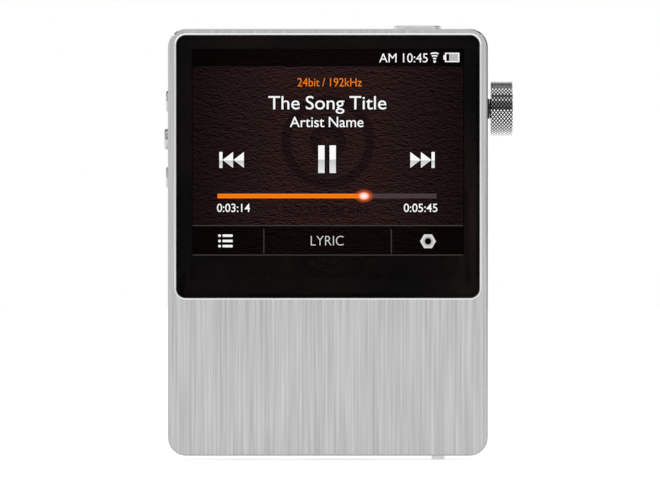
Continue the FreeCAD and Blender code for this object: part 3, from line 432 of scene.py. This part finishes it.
def gloss_light(name, line, foot):
    """White, and grey below a sharp line, fading up to white at the foot."""
    material, tree, light, _, v = lit_material(name)
    grey = blend_colors(tree, remap(tree, v, foot, line - 0.1), srgb(238, 238, 238), srgb(203, 205, 205))
    wire(tree, blend_colors(tree, remap(tree, v, line - 0.06, line + 0.06), grey, 1.0), light)
    return material


def bar_light(name, middle, edge):
    """The progress bar: a lighter line along its two edges, and the head's glow."""
    material, tree, light, u, v = lit_material(name)
    away = calculate(tree, "ABSOLUTE", calculate(tree, "SUBTRACT", v, HEAD_V))
    bar = blend_colors(tree, remap(tree, away, 0.2, 0.42), middle, edge)
    wire(tree, head_glow(tree, bar, u, v), light)
    return material


# --- Materials of the CAD pieces ---
def node_materials():
    """One material for each CAD node, by name."""
    steel = sheet_metal("folded_steel", (0.56, 0.56, 0.55), 0.3)
    dark_steel = sheet_metal("black_oxide_steel", (0.08, 0.08, 0.085), 0.4)
    cast = sheet_metal("cast_alloy", (0.46, 0.46, 0.47), 0.5)
    resin = moulded("black_resin", (0.018, 0.018, 0.019), 0.45)
    chip = moulded("chip_resin", (0.022, 0.022, 0.023), 0.6, grain=3200.0)
    gold = sheet_metal("gold_plate", (0.83, 0.62, 0.3), 0.25)
    white = moulded("white_nylon", (0.72, 0.71, 0.67), 0.4)
    foam = moulded("black_foam", (0.02, 0.02, 0.02), 0.85, grain=1500.0, depth=0.03 * MM)
    bright = (0.7, 0.7, 0.71)
    pale = (0.95, 0.95, 0.955)
    by_material = {
        case_aluminium(): ["housing"],
        clear_glass("window_glass", 0.99): ["front_glass"],
        clear_glass("touch_film", 0.99): ["touch_panel"],
        black_glass(): ["rear_glass"],
        black_print(): ["glass_border_print"],
        moulded("cell_glass", (0.01, 0.009, 0.01), 0.2): ["display_cell"],
        moulded("diffuser", (0.8, 0.8, 0.78), 0.5): ["backlight"],
        foam: ["window_tape", "rear_tape", "battery_pad"],
        steel: [
            "display_shield",
            "digital_shield_can",
            "analog_shield_can",
            "side_key_bracket",
            "front_card_socket",
            "rear_card_socket",
            "side_key_switches",
            "power_switch",
            "wireless_module",
        ],
        sheet_metal("port_steel", (0.68, 0.68, 0.67), 0.22): ["usb_shell"],
        moulded("flex_film", (0.36, 0.13, 0.025), 0.3): ["display_flex"],
        cast: ["chassis", "rear_cover"],
        dark_steel: ["chassis_screws", "board_screws", "rear_cover_screws"],
        circuit_board(): ["main_board", "side_key_board"],
        chip: ["processor_chip", "memory_chips", "converter_chip", "amplifier_chip"],
        moulded("film_capacitor", (0.42, 0.09, 0.02), 0.25): ["filter_capacitors"],
        moulded("ferrite", (0.07, 0.07, 0.075), 0.7): ["power_chokes"],
        sheet_metal("battery_foil", (0.5, 0.51, 0.53), 0.32, grain=700.0): ["battery"],
        moulded("lead_sleeve", (0.4, 0.015, 0.01), 0.4): ["battery_leads"],
        white: ["battery_plug", "flex_socket", "encoder_rotor"],
        sheet_metal("knob_core", (0.6, 0.6, 0.61), 0.2): ["volume_knob"],
        turned_metal("shaft_steel", (0.2, 0.2, 0.21), "knob_shaft", 0.25): ["knob_shaft"],
        # painted shade: the bushing between case and knob is coloured near black (0.022) where shade falls
        turned_metal("bushing_painted_shade", (0.022, 0.022, 0.024), "encoder_bushing", 0.3): ["encoder_bushing"],
        resin: ["encoder_case", "headphone_jack", "line_in_jack", "usb_tongue", "card_door_track"],
        gold: ["encoder_terminals", "jack_terminals"],
        sheet_metal("power_key_aluminium", pale, 0.42, grain=600.0, spread=0.03): ["power_key"],
        turned_metal("pin_aluminium", bright, "card_door_knob", 0.26, "Z"): ["card_door_knob"],
        turned_metal("left_ring_metal", bright, "headphone_jack_ring", 0.2, "Z"): ["headphone_jack_ring"],
        turned_metal("right_ring_metal", bright, "line_in_jack_ring", 0.2, "Z"): ["line_in_jack_ring"],
        sheet_metal("door_aluminium", (0.5, 0.5, 0.51), 0.42, grain=4200.0, spread=0.08): ["card_door"],
    }
    for key in ("previous_key", "play_key", "next_key"):
        by_material[turned_metal(key + "_aluminium", (0.6, 0.6, 0.605), key, 0.24)] = [key]
    return {node: material for material, nodes in by_material.items() for node in nodes}


def paint_nodes():
    for name, material in node_materials().items():
        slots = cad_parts[name].material_slots
        if not slots:
            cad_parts[name].data.materials.append(material)
        for slot in slots:
            slot.material = material


# --- The screen's picture ---
# The picture lies in layers between the touch panel and the window: the wallpaper on layer 0, then the bars
# and faint marks, the halos and lines, and the icons and words.
WALLPAPER, BARS, HALOS, MARKS = range(4)
LAYER_GAP = 0.01
FIRST_GAP = 0.005
TOUCH_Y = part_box("touch_panel")[0][1] / MM
HALO = 0.2


def on_picture(u, v, layer):
    """The place in metres of a point across and up from the picture's middle."""
    y = TOUCH_Y - FIRST_GAP - LAYER_GAP * layer
    return ((PICTURE_X + u) * MM, y * MM, (PICTURE_Z + v) * MM)


def face_forward(shape):
    shape.normal_update()
    for face in shape.faces:
        if face.normal.y > 0:
            face.normal_flip()


def new_object(name, mesh, material):
    """An object in the scene that shows a mesh in one material."""
    mesh.materials.clear()
    mesh.materials.append(material)
    made = bpy.data.objects.new(name, mesh)
    bpy.context.scene.collection.objects.link(made)
    return made


def show_mesh(name, mesh, material):
    """Puts a mesh of the picture on the casing."""
    piece = new_object(name, mesh, material)
    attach(piece, "casing")


def screen_piece(name, polygons, layer, material):
    """Flat polygons on one layer of the picture. Their points are across and up from its middle."""
    shape = bmesh.new()
    for polygon in polygons:
        shape.faces.new([shape.verts.new(on_picture(u, v, layer)) for u, v in polygon])
    face_forward(shape)
    mesh = bpy.data.meshes.new(name)
    shape.to_mesh(mesh)
    shape.free()
    show_mesh(name, mesh, material)


def rectangle(left, right, low, high):
    return [(left, low), (right, low), (right, high), (left, high)]


def around(u, v, radius, count, start=0.0):
    """Points round a circle, from an angle in degrees."""
    angles = [math.radians(start + 360 * i / count) for i in range(count)]
    return [(u + radius * math.cos(angle), v + radius * math.sin(angle)) for angle in angles]


def band(u, v, inner, outer, start=0.0, end=360.0, steps=48):
    """The four-sided pieces of a ring or of a part of one."""
    angles = [math.radians(start + (end - start) * i / steps) for i in range(steps + 1)]
    rims = [[(u + r * math.cos(a), v + r * math.sin(a)) for a in angles] for r in (inner, outer)]
    return [[rims[0][i], rims[1][i], rims[1][i + 1], rims[0][i + 1]] for i in range(steps)]


def grown(polygon, reach):
    """A convex polygon, its points given anticlockwise, grown by reach on all sides."""
    made = []
    for i, point in enumerate(polygon):
        before = (Vector(point) - Vector(polygon[i - 1])).normalized()
        after = (Vector(polygon[(i + 1) % len(polygon)]) - Vector(point)).normalized()
        out_before = Vector((before.y, -before.x))
        out_after = Vector((after.y, -after.x))
        out = out_before + out_after
        made.append(tuple(Vector(point) + out * reach / max(0.35, out.length_squared / 2)))
    return made


def icon(name, polygons, material):
    """Lit polygons over a dark halo."""
    screen_piece(name + "_halo", [grown(polygon, HALO) for polygon in polygons], HALOS, HALO_DARK)
    screen_piece(name, polygons, MARKS, material)


def letter_mesh(name, text, boldness):
    """Flat lettering at its font's own size."""
    curve = bpy.data.curves.new(name, "FONT")
    curve.body = text
    curve.resolution_u = 5
    curve.space_word = 0.85
    curve.offset = boldness
    source = bpy.data.objects.new(name + "_source", curve)
    bpy.context.scene.collection.objects.link(source)
    bpy.context.view_layer.update()
    mesh = bpy.data.meshes.new_from_object(source)
    bpy.data.objects.remove(source)
    mesh.name = name
    return mesh


def words(name, text, left, right, low, high, material, weight=0.0, halo=HALO, layer=MARKS):
    """Lettering whose ink fills a box on the picture. weight is how much bolder it is than its font."""
    mesh = letter_mesh(name, text, weight)
    ink = [(vertex.co.x, vertex.co.y) for vertex in mesh.vertices]
    ink_left = min(u for u, _ in ink)
    wide = (right - left) / (max(u for u, _ in ink) - ink_left)
    tall = (high - low) / max(v for _, v in ink)
    versions = [(name, mesh, layer, material)]
    if halo:
        around_mesh = letter_mesh(name + "_halo", text, weight + halo / wide)
        versions.append((name + "_halo", around_mesh, HALOS, HALO_DARK))
    for title, letters, level, paint in versions:
        for vertex in letters.vertices:
            u = left + (vertex.co.x - ink_left) * wide
            v = low + vertex.co.y * tall
            vertex.co = on_picture(u, v, level)
        shape = bmesh.new()
        shape.from_mesh(letters)
        face_forward(shape)
        shape.to_mesh(letters)
        shape.free()
        show_mesh(title, letters, paint)


def wallpaper():
    """The leather with its two darker bars, hairlines, and the faint disc and words in the middle."""
    half = PICTURE_WIDTH / 2
    top = PICTURE_HEIGHT / 2
    bar_line = 0.19
    leather = leather_picture("leather_picture", 1)
    screen_piece("wallpaper", [rectangle(-half, half, -top, top)], WALLPAPER, leather)
    darkest = leather_picture("darkest_leather_picture", 0.17)
    dark = leather_picture("dark_leather_picture", 0.22)
    screen_piece("status_bar", [rectangle(-half, half, 15.97, top)], BARS, darkest)
    screen_piece("tab_bar", [rectangle(-half, half, -top, -13.51)], BARS, dark)
    pressed = leather_picture("pressed_leather_picture", 0.62)
    record = band(0.0, 2.0, 6.9, 8.6) + band(0.0, 2.0, 1.3, 3.4)
    screen_piece("record_mark", record, BARS, pressed)
    words("no_art_words", "NO ALBUM ART", -8.2, 7.9, -11.75, -9.8, pressed, 0.01, halo=0.0, layer=BARS)
    lines = [rectangle(-half, half, v, v + bar_line) for v in (-13.61, -19.07)]
    for u in (-11.86, 11.75):
        lines.append(rectangle(u - 0.09, u + 0.09, -18.68, -14.14))
    screen_piece("bar_lines", lines, HALOS, panel_light("hairline_light", srgb(66, 61, 60)))


def status_icons():
    """The clock, a radio mark and the battery's charge."""
    words("clock_words", "AM 10:45", 9.49, 18.48, 16.71, 18.38, WHITE)
    screen_piece("radio_dot", [around(19.76, 16.86, 0.24, 20)], MARKS, WHITE)
    arcs = []
    for radius in (0.65, 1.15, 1.65):
        arcs += band(19.76, 16.8, radius - 0.13, radius + 0.13, 64.0, 116.0, 16)
    screen_piece("radio_waves", arcs, MARKS, WHITE)
    outline = [
        rectangle(21.68, 24.35, 18.28, 18.49),
        rectangle(21.68, 24.35, 16.75, 16.96),
        rectangle(21.68, 21.92, 16.96, 18.28),
        rectangle(24.12, 24.35, 16.96, 18.28),
        rectangle(21.39, 21.68, 17.2, 18.04),
    ]
    screen_piece("charge_outline", outline, MARKS, WHITE)
    screen_piece("charge_level", [rectangle(22.46, 24.12, 16.96, 18.28)], MARKS, GREY)


def song_words():
    words("sampling_words", "24bit / 192kHz", -5.64, 6.29, 12.26, 13.81, ORANGE, halo=0.0)
    words("title_words", "The Song Title", -11.03, 10.82, 8.02, 10.5, WHITE, 0.004)
    words("artist_words", "Artist Name", -7.05, 6.59, 4.73, 6.65, WHITE, 0.004)
    words("played_words", "0:03:14", -20.54, -14.41, -10.98, -9.44, WHITE, 0.006)
    words("length_words", "0:05:45", 14.04, 20.28, -10.98, -9.44, WHITE, 0.006)
    words("lyric_words", "LYRIC", -3.16, 2.9, -17.21, -15.42, SOFT_WHITE, -0.014, halo=0.0)


def skip_icon(name, bar_u, direction, tips):
    """A bar and two triangles that point at it."""
    low, high = -2.84, 0.12
    half_bar = 0.3
    depth = 1.95
    shapes = [rectangle(bar_u - half_bar, bar_u + half_bar, low, high)]
    for tip in tips:
        base = tip + direction * depth
        corners = [(base, low), (base, high)] if direction > 0 else [(base, high), (base, low)]
        shapes.append([(tip, (low + high) / 2), *corners])
    icon(name, shapes, gloss_light(name + "_light", -1.47, low))


def play_icons():
    skip_icon("previous_icon", -19.81, 1, (-19.5, -17.5))
    skip_icon("next_icon", 19.48, -1, (19.17, 17.2))
    low, high = -3.78, 1.34
    bars = [rectangle(-1.79, -0.61, low, high), rectangle(0.3, 1.48, low, high)]
    icon("pause_icon", bars, gloss_light("pause_icon_light", -1.29, low))


def progress_bar():
    low, high = HEAD_V - 0.41, HEAD_V + 0.42
    orange = bar_light("played_light", srgb(255, 118, 2), srgb(255, 146, 48))
    track = bar_light("unplayed_light", srgb(72, 60, 61), srgb(82, 70, 71))
    screen_piece("played_bar", [rectangle(-20.44, HEAD_U, low, high)], HALOS, orange)
    screen_piece("unplayed_bar", [rectangle(HEAD_U, 20.11, low, high)], HALOS, track)


def tab_icons():
    """The list mark and the settings nut."""
    marks = []
    for v in (-15.38, -16.36, -17.31):
        marks.append(around(-20.06, v, 0.26, 16))
        marks.append(rectangle(-19.5, -17.64, v - 0.23, v + 0.23))
    screen_piece("list_icon", marks, MARKS, WHITE)
    nut_u, nut_v = 18.54, -16.42
    nut_hole = 0.61
    screen_piece("nut_icon", [around(nut_u, nut_v, 1.47, 6)], HALOS, SOFT_WHITE)
    screen_piece("nut_icon_ring", band(nut_u, nut_v, nut_hole, 0.94), MARKS, GREY)
    screen_piece("nut_icon_hole", [around(nut_u, nut_v, nut_hole, 36)], MARKS, HALO_DARK)


# --- The volume knob ---
KNURL_ROWS = 13
KNURL_COLUMNS = 80
KNURL_DEPTH = 0.27
KNURL_FLAT = 0.56  # how much of a diamond its flat top takes up, along each way across it
KNURL_LENGTH = 4.0
KNOB_BOSS = 1.85
KNOB_BORE = 2.8
DISH_MOUTH = 3.92
DISH_LIP = 0.06
DISH_FLOOR = 3.7
DISH_DEPTH = 0.25
DISH_MIDDLE = 1.2
SHARP_EDGE = math.radians(12)


class Lathe:
    """Points placed round the knob's axis, by how far along it, which column and how far out they are."""

    def __init__(self, axis_y, axis_z):
        self.shape = bmesh.new()
        self.axis_y = axis_y
        self.axis_z = axis_z

    def point(self, x, column, radius):
        angle = 2 * math.pi * column / KNURL_COLUMNS
        y = self.axis_y + radius * math.cos(angle)
        z = self.axis_z + radius * math.sin(angle)
        return self.shape.verts.new((x * MM, y * MM, z * MM))

    def ring(self, x, radius):
        return [self.point(x, column, radius) for column in range(KNURL_COLUMNS)]

    def join(self, near, far):
        """Four-sided faces between two rings."""
        for column in range(KNURL_COLUMNS):
            after = (column + 1) % KNURL_COLUMNS
            self.shape.faces.new((near[column], near[after], far[after], far[column]))


def knurl(lathe, low, high, crest):
    """Rows of flat-topped diamonds between slanting grooves, cut off square at both ends. Returns the
    rings of points at the two ends."""
    hollow = crest - KNURL_DEPTH
    step = (high - low) / KNURL_ROWS
    rings = [lathe.ring(low + row * step, hollow) for row in range(KNURL_ROWS + 1)]
    for row in range(KNURL_ROWS + 1):
        for column in range((row + 1) % 2, KNURL_COLUMNS, 2):
            diamond(lathe, rings, row, column, low + row * step, step * KNURL_FLAT, crest)
    return rings[0], rings[-1]


def diamond(lathe, rings, row, column, x, flat, crest):
    """One diamond's slanting sides and flat top, or half of one at an end of the knurl."""
    add_face = lathe.shape.faces.new
    before = rings[row][column - 1]
    after = rings[row][(column + 1) % KNURL_COLUMNS]
    before_top = lathe.point(x, column - KNURL_FLAT, crest)
    after_top = lathe.point(x, column + KNURL_FLAT, crest)
    tips = []
    if row < KNURL_ROWS:
        tips.append((rings[row + 1][column], lathe.point(x + flat, column, crest)))
    if row > 0:
        tips.append((rings[row - 1][column], lathe.point(x - flat, column, crest)))
    for tip, tip_top in tips:
        add_face((before, tip, tip_top, before_top))
        add_face((tip, after, after_top, tip_top))
    if len(tips) == 2:
        add_face((before_top, tips[0][1], after_top, tips[1][1]))
        lathe.shape.verts.remove(rings[row][column])
    else:
        add_face((before_top, tips[0][1], after_top))
        add_face((before, rings[row][column], after, after_top, before_top))


def volume_knob():
    """The knob with its diamond knurl and dished end, which stands for the CAD knob."""
    low, high = (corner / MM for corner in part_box("volume_knob"))
    shaft_low, shaft_high = (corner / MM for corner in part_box("knob_shaft"))
    axis_y = (low.y + high.y) / 2
    axis_z = (low.z + high.z) / 2
    crest = (high.z - low.z) / 2
    bore = (shaft_high.z - shaft_low.z) / 2
    lathe = Lathe(axis_y, axis_z)
    shoulder = high.x - KNURL_LENGTH
    first, last = knurl(lathe, shoulder, high.x, crest)
    back = [(shoulder, KNOB_BOSS), (low.x, KNOB_BOSS), (low.x, bore), (shoulder + KNOB_BORE, bore)]
    front = [
        (high.x, DISH_MOUTH),
        (high.x - DISH_LIP, DISH_MOUTH - DISH_LIP),
        (high.x - DISH_DEPTH, DISH_FLOOR),
        (high.x - DISH_DEPTH, DISH_MIDDLE),
    ]
    for ring, profile in ((first, back), (last, front)):
        for x, radius in profile:
            following = lathe.ring(x, radius)
            lathe.join(ring, following)
            ring = following
        lathe.shape.faces.new(ring)
    bmesh.ops.recalc_face_normals(lathe.shape, faces=lathe.shape.faces)
    mesh = bpy.data.meshes.new("volume_knob_knurled")
    lathe.shape.to_mesh(mesh)
    lathe.shape.free()
    mesh.polygons.foreach_set("use_smooth", [True] * len(mesh.polygons))
    mesh.set_sharp_from_angle(angle=SHARP_EDGE)
    chrome = knurl_chrome_and_groove_shade(axis_y * MM, axis_z * MM, crest * MM)
    piece = new_object("volume_knob_knurled", mesh, chrome)
    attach(piece, "volume_knob_body")
    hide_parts("volume_knob")


# --- The studio ---
VIEW_WIDTH = 122.1
VIEW_DISTANCE = 1200.0
VIEW_X = 0.39
VIEW_Z = -0.96
SENSOR = 36.0
FLOOR_REACH = 3.0  # metres
FLOOR_GLOW = 0.72

# How bright the studio looks in the metal, by elevation in degrees, as shares of its peak.
SKY_PEAK = 1.65
SKY = (
    (0, 0.53),
    (33, 0.61),
    (35, 0.67),
    (45, 0.67),
    (48, 0.07),
    (59, 0.05),
    (63, 0.63),
    (80, 0.67),
    (90, 1.0),
)
# Darker and brighter uprights: where each stands, half its width, both in degrees, and how bright it is.
UPRIGHTS = ((64, 13, 0.2), (-64, 13, 0.5), (90, 4, 0.35), (-90, 4, 1.6))
UPRIGHT_FADE = 4
PANEL_LIGHT = 0.03
SLOT_LIGHT = 0.28
BACK_LIGHT = 0.16


def studio_camera():
    """A long lens straight in front. The object stands a little left of and above the image's middle."""
    camera = bpy.data.objects.new("camera", bpy.data.cameras.new("camera"))
    bpy.context.scene.collection.objects.link(camera)
    camera.data.sensor_width = SENSOR
    camera.data.lens = SENSOR * VIEW_DISTANCE / VIEW_WIDTH
    camera.data.clip_start = 0.05
    front = cad_box[0][1]
    camera.location = (VIEW_X * MM, front - VIEW_DISTANCE * MM, VIEW_Z * MM)
    camera.rotation_euler = (math.radians(90), 0, 0)
    bpy.context.scene.camera = camera


def floor():
    """A very pale floor under the object's lowest point, with a glow of its own that thins the shadow."""
    level = cad_box[0][2]
    corners = ((-1, -1), (1, -1), (1, 1), (-1, 1))
    shape = bmesh.new()
    shape.faces.new([shape.verts.new((x * FLOOR_REACH, y * FLOOR_REACH, level)) for x, y in corners])
    mesh = bpy.data.meshes.new("studio_floor")
    shape.to_mesh(mesh)
    shape.free()
    material, tree, surface = new_material("studio_floor", Roughness=0.9, Specular_IOR_Level=0.1)
    tone = blend_colors(tree, noise(tree, object_vector(tree), 3.0), 0.41, 0.43)
    wire(tree, tone, surface["Base Color"])
    surface["Emission Color"].default_value = (1.0, 1.0, 1.0, 1.0)
    surface["Emission Strength"].default_value = FLOOR_GLOW
    piece = new_object("studio_floor", mesh, material)


def cosine(degrees):
    return math.cos(math.radians(degrees))


def sky_light(tree, rise):
    """The studio's light by elevation. rise is the elevation as a share of a right angle."""
    sky = add_node(tree, "ValToRGB", {0: rise})
    ramp = sky.color_ramp
    for elevation, _ in SKY[1:-1]:
        ramp.elements.new(elevation / 90)
    for element, (elevation, share) in zip(ramp.elements, SKY):
        element.position = elevation / 90
        element.color = (share, share, share, 1.0)
    return multiply(tree, sky.outputs[0], SKY_PEAK)


def mirrored_light(tree, x, y, z):
    """What the metal and glass mirror: the sky, a black panel where the window would mirror the room, and
    uprights at the sides. The chrome knob also mirrors a dim slot ahead and a dark card high behind."""
    front = multiply(tree, y, -1.0)
    panel = remap(tree, front, cosine(9), cosine(6), 1.0, PANEL_LIGHT)
    rise = calculate(tree, "DIVIDE", calculate(tree, "ARCSINE", z), math.radians(90))
    turn = calculate(tree, "ARCTAN2", x, front)
    light = multiply(tree, sky_light(tree, rise), panel)
    for middle, half_width, share in UPRIGHTS:
        away = calculate(tree, "ABSOLUTE", calculate(tree, "SUBTRACT", turn, math.radians(middle)))
        edge = math.radians(half_width)
        light = multiply(tree, light, remap(tree, away, edge, edge + math.radians(UPRIGHT_FADE), share, 1.0))
    width = remap(tree, calculate(tree, "ABSOLUTE", turn), math.radians(10), math.radians(14), 1.0, 0.0)
    under = remap(tree, rise, 32 / 90, 35 / 90, 1.0, 0.0)
    over = remap(tree, rise, 4 / 90, 8 / 90)
    slot = remap(tree, multiply(tree, width, under, over), 0.0, 1.0, 1.0, SLOT_LIGHT)
    behind = remap(tree, y, 0.1, 0.16, 1.0, BACK_LIGHT)
    back = blend(tree, remap(tree, z, 0.45, 0.5), 1.0, behind)
    return multiply(tree, light, slot, back)


def studio_air():
    """White behind the object and white light on it. Mirrors see the studio instead."""
    world = bpy.data.worlds.new("studio_air")
    world.use_nodes = True
    bpy.context.scene.world = world
    tree = world.node_tree
    tree.nodes.clear()
    direction = add_node(tree, "TexCoord").outputs["Generated"]
    x, y, z = add_node(tree, "SeparateXYZ", {0: direction}).outputs[:3]
    path = add_node(tree, "LightPath").outputs
    plain = remap(tree, path["Is Camera Ray"], 0.0, 1.0, 1.22, 1.0)
    strength = blend(tree, path["Is Glossy Ray"], plain, mirrored_light(tree, x, y, z))
    light = add_node(tree, "Background", {"Color": (1, 1, 1, 1), "Strength": strength})
    wire(tree, light.outputs[0], add_node(tree, "OutputWorld").inputs["Surface"])


# --- The scene ---
paint_nodes()
WHITE = panel_light("white_light", (1.0, 1.0, 1.0))
SOFT_WHITE = panel_light("soft_white_light", srgb(222, 222, 222))
GREY = panel_light("grey_light", srgb(192, 192, 192))
ORANGE = panel_light("orange_light", srgb(245, 128, 24))
HALO_DARK = panel_light("halo_light", srgb(7, 4, 4))
wallpaper()
status_icons()
song_words()
play_icons()
progress_bar()
tab_icons()
volume_knob()
studio_camera()
floor()
studio_air()
bpy.context.scene.view_settings.view_transform = "Standard"
